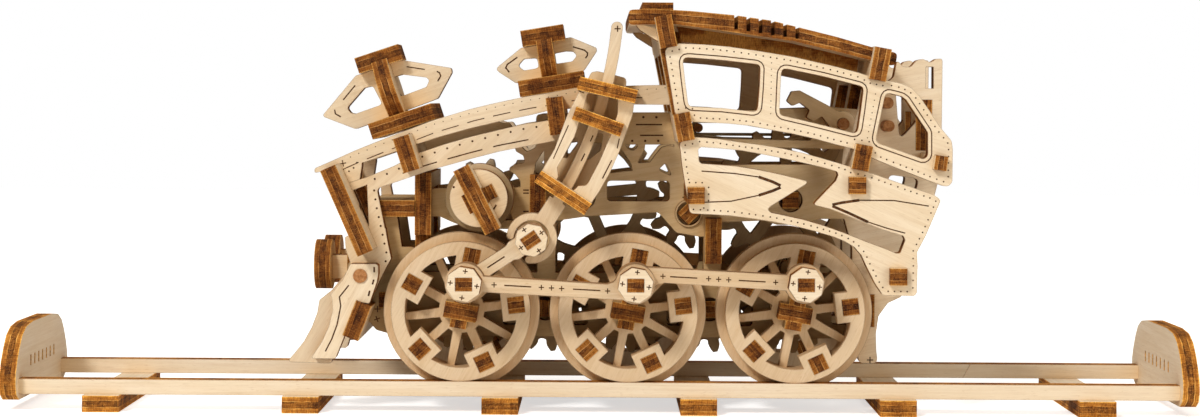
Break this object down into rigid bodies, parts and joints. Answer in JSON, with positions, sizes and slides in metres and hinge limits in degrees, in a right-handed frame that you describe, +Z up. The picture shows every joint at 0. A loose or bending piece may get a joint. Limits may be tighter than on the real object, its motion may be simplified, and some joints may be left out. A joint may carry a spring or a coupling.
{
  "type": "wooden mechanical locomotive model",
  "caption": "Laser-cut plywood steam locomotive kit with geared wheels, coupling rods and a winding key, rolling on a straight track with end stops.",
  "frame": {"origin": "under the middle of the track, on the surface it stands on", "axes": "+X along the track towards the cab, Y across the track, +Z up; the nose is towards -X"},
  "size_m": [0.289, 0.079, 0.0996],
  "materials": {
    "birch_plywood": "bare laser-cut birch plywood, scorched edges",
    "dowel_wood": "bare turned wood",
    "elastic": "natural rubber"
  },
  "bodies": {
    "track": {"sleepers": "birch_plywood", "rail_near": "birch_plywood", "rail_far": "birch_plywood", "end_stop_front": "birch_plywood", "end_stop_rear": "birch_plywood"},
    "locomotive": {"cylinder_near": "birch_plywood", "cylinder_far": "birch_plywood", "chassis_side_near": "birch_plywood", "chassis_side_far": "birch_plywood", "chassis_crossbars": "birch_plywood", "frame_spacers": "birch_plywood", "dowel_pins": "dowel_wood", "cab_pegs": "birch_plywood", "boiler_bands_upper": "birch_plywood", "boiler_bands_lower": "birch_plywood", "boiler_formers": "birch_plywood", "nose_plate": "birch_plywood", "cowcatcher": "birch_plywood", "buffers": "birch_plywood", "chimney_front_plate": "birch_plywood", "chimney_front_cross": "birch_plywood", "chimney_rear_plate": "birch_plywood", "chimney_rear_cross": "birch_plywood", "chimney_bases": "birch_plywood", "cab_side_upper_near": "birch_plywood", "cab_side_upper_far": "birch_plywood", "cab_side_lower_near": "birch_plywood", "cab_side_lower_far": "birch_plywood", "cab_front_wall": "birch_plywood", "cab_rear_wall": "birch_plywood", "roof": "birch_plywood", "elastic_loop": "elastic"},
    "wheelset_1": {"wheel_1_treads": "birch_plywood", "wheel_1_spoked_discs": "birch_plywood", "axle_1": "birch_plywood", "crank_pins_1": "birch_plywood"},
    "wheelset_2": {"wheel_2_treads": "birch_plywood", "wheel_2_spoked_discs": "birch_plywood", "axle_2": "birch_plywood", "crank_pins_2": "birch_plywood"},
    "wheelset_3": {"wheel_3_treads": "birch_plywood", "wheel_3_spoked_discs": "birch_plywood", "axle_3": "birch_plywood", "crank_pins_3": "birch_plywood"},
    "idler_1": {"idler_gear_1": "birch_plywood"},
    "idler_2": {"idler_gear_2": "birch_plywood"},
    "gear_rear": {"drive_gear_rear": "birch_plywood"},
    "gear_middle": {"drive_gear_middle": "birch_plywood"},
    "gear_front": {"drive_gear_front": "birch_plywood"},
    "key": {"key_pinion": "birch_plywood", "winding_key": "birch_plywood"},
    "front_rod_near": {"coupling_rod_front_near": "birch_plywood"},
    "rear_rod_near": {"coupling_rod_rear_near": "birch_plywood"},
    "link_near": {"link_near": "birch_plywood"},
    "piston_near": {"piston_rod_near": "birch_plywood"},
    "front_rod_far": {"coupling_rod_front_far": "birch_plywood"},
    "rear_rod_far": {"coupling_rod_rear_far": "birch_plywood"},
    "link_far": {"link_far": "birch_plywood"},
    "piston_far": {"piston_rod_far": "birch_plywood"},
    "lever": {"release_lever": "birch_plywood"}
  },
  "joints": [
    {"name": "loco_roll", "type": "slide", "parent": "track", "child": "locomotive", "axis": [1, 0, 0], "range_m": [-0.06, 0.06]},
    {"name": "wheelset_1_turn", "type": "hinge", "parent": "locomotive", "child": "wheelset_1", "pos_m": [-0.0337, 0, 0.02455], "axis": [0, 1, 0], "continuous": true},
    {"name": "wheelset_2_turn", "type": "hinge", "parent": "locomotive", "child": "wheelset_2", "pos_m": [0.0068, 0, 0.02455], "axis": [0, 1, 0], "continuous": true},
    {"name": "wheelset_3_turn", "type": "hinge", "parent": "locomotive", "child": "wheelset_3", "pos_m": [0.0473, 0, 0.02455], "axis": [0, 1, 0], "continuous": true},
    {"name": "idler_1_turn", "type": "hinge", "parent": "locomotive", "child": "idler_1", "pos_m": [-0.01345, 0, 0.02455], "axis": [0, 1, 0], "continuous": true},
    {"name": "idler_2_turn", "type": "hinge", "parent": "locomotive", "child": "idler_2", "pos_m": [0.02705, 0, 0.02455], "axis": [0, 1, 0], "continuous": true},
    {"name": "gear_rear_turn", "type": "hinge", "parent": "locomotive", "child": "gear_rear", "pos_m": [0.0468, 0, 0.05155], "axis": [0, 1, 0], "continuous": true},
    {"name": "gear_middle_turn", "type": "hinge", "parent": "locomotive", "child": "gear_middle", "pos_m": [0.02171, 0, 0.0482], "axis": [0, 1, 0], "continuous": true},
    {"name": "gear_front_turn", "type": "hinge", "parent": "locomotive", "child": "gear_front", "pos_m": [-0.00417, 0, 0.05202], "axis": [0, 1, 0], "continuous": true},
    {"name": "key_turn", "type": "hinge", "parent": "locomotive", "child": "key", "pos_m": [-0.02948, 0, 0.05202], "axis": [0, 1, 0], "continuous": true},
    {"name": "front_rod_near_turn", "type": "hinge", "parent": "wheelset_1", "child": "front_rod_near", "pos_m": [-0.0321, -0.0335, 0.03235], "axis": [0, 1, 0], "continuous": true},
    {"name": "rear_rod_near_turn", "type": "hinge", "parent": "wheelset_2", "child": "rear_rod_near", "pos_m": [0.0084, -0.0295, 0.03235], "axis": [0, 1, 0], "continuous": true},
    {"name": "link_near_turn", "type": "hinge", "parent": "wheelset_1", "child": "link_near", "pos_m": [-0.0321, -0.0295, 0.03235], "axis": [0, 1, 0], "continuous": true},
    {"name": "front_rod_far_turn", "type": "hinge", "parent": "wheelset_1", "child": "front_rod_far", "pos_m": [-0.0321, 0.0335, 0.03235], "axis": [0, 1, 0], "continuous": true},
    {"name": "rear_rod_far_turn", "type": "hinge", "parent": "wheelset_2", "child": "rear_rod_far", "pos_m": [0.0084, 0.0295, 0.03235], "axis": [0, 1, 0], "continuous": true},
    {"name": "link_far_turn", "type": "hinge", "parent": "wheelset_1", "child": "link_far", "pos_m": [-0.0321, 0.0295, 0.03235], "axis": [0, 1, 0], "continuous": true},
    {"name": "piston_near_swing", "type": "hinge", "parent": "locomotive", "child": "piston_near", "pos_m": [-0.09452, -0.0255, 0.10306], "axis": [0, 1, 0], "range_deg": [-0.6, 7]},
    {"name": "piston_far_swing", "type": "hinge", "parent": "locomotive", "child": "piston_far", "pos_m": [-0.09452, 0.0255, 0.10306], "axis": [0, 1, 0], "range_deg": [-0.6, 7]},
    {"name": "lever_swing", "type": "hinge", "parent": "locomotive", "child": "lever", "pos_m": [0.05916, -0.0162, 0.07046], "axis": [0, 1, 0], "range_deg": [-8, 8]}
  ],
  "couplings": [
    {"joint": "wheelset_1_turn", "follows": "loco_roll", "rad_per_m": 59.172},
    {"joint": "wheelset_2_turn", "follows": "loco_roll", "rad_per_m": 59.172},
    {"joint": "wheelset_3_turn", "follows": "loco_roll", "rad_per_m": 59.172},
    {"joint": "idler_1_turn", "follows": "loco_roll", "rad_per_m": -59.172},
    {"joint": "idler_2_turn", "follows": "loco_roll", "rad_per_m": -59.172},
    {"joint": "gear_rear_turn", "follows": "loco_roll", "rad_per_m": -35.503},
    {"joint": "gear_middle_turn", "follows": "loco_roll", "rad_per_m": 71.006},
    {"joint": "gear_front_turn", "follows": "loco_roll", "rad_per_m": -33.812},
    {"joint": "key_turn", "follows": "loco_roll", "rad_per_m": 78.895},
    {"joint": "front_rod_near_turn", "follows": "loco_roll", "rad_per_m": -59.172},
    {"joint": "rear_rod_near_turn", "follows": "loco_roll", "rad_per_m": -59.172},
    {"joint": "link_near_turn", "follows": "loco_roll", "rad_per_m": -59.172},
    {"joint": "front_rod_far_turn", "follows": "loco_roll", "rad_per_m": -59.172},
    {"joint": "rear_rod_far_turn", "follows": "loco_roll", "rad_per_m": -59.172},
    {"joint": "link_far_turn", "follows": "loco_roll", "rad_per_m": -59.172}
  ]
}
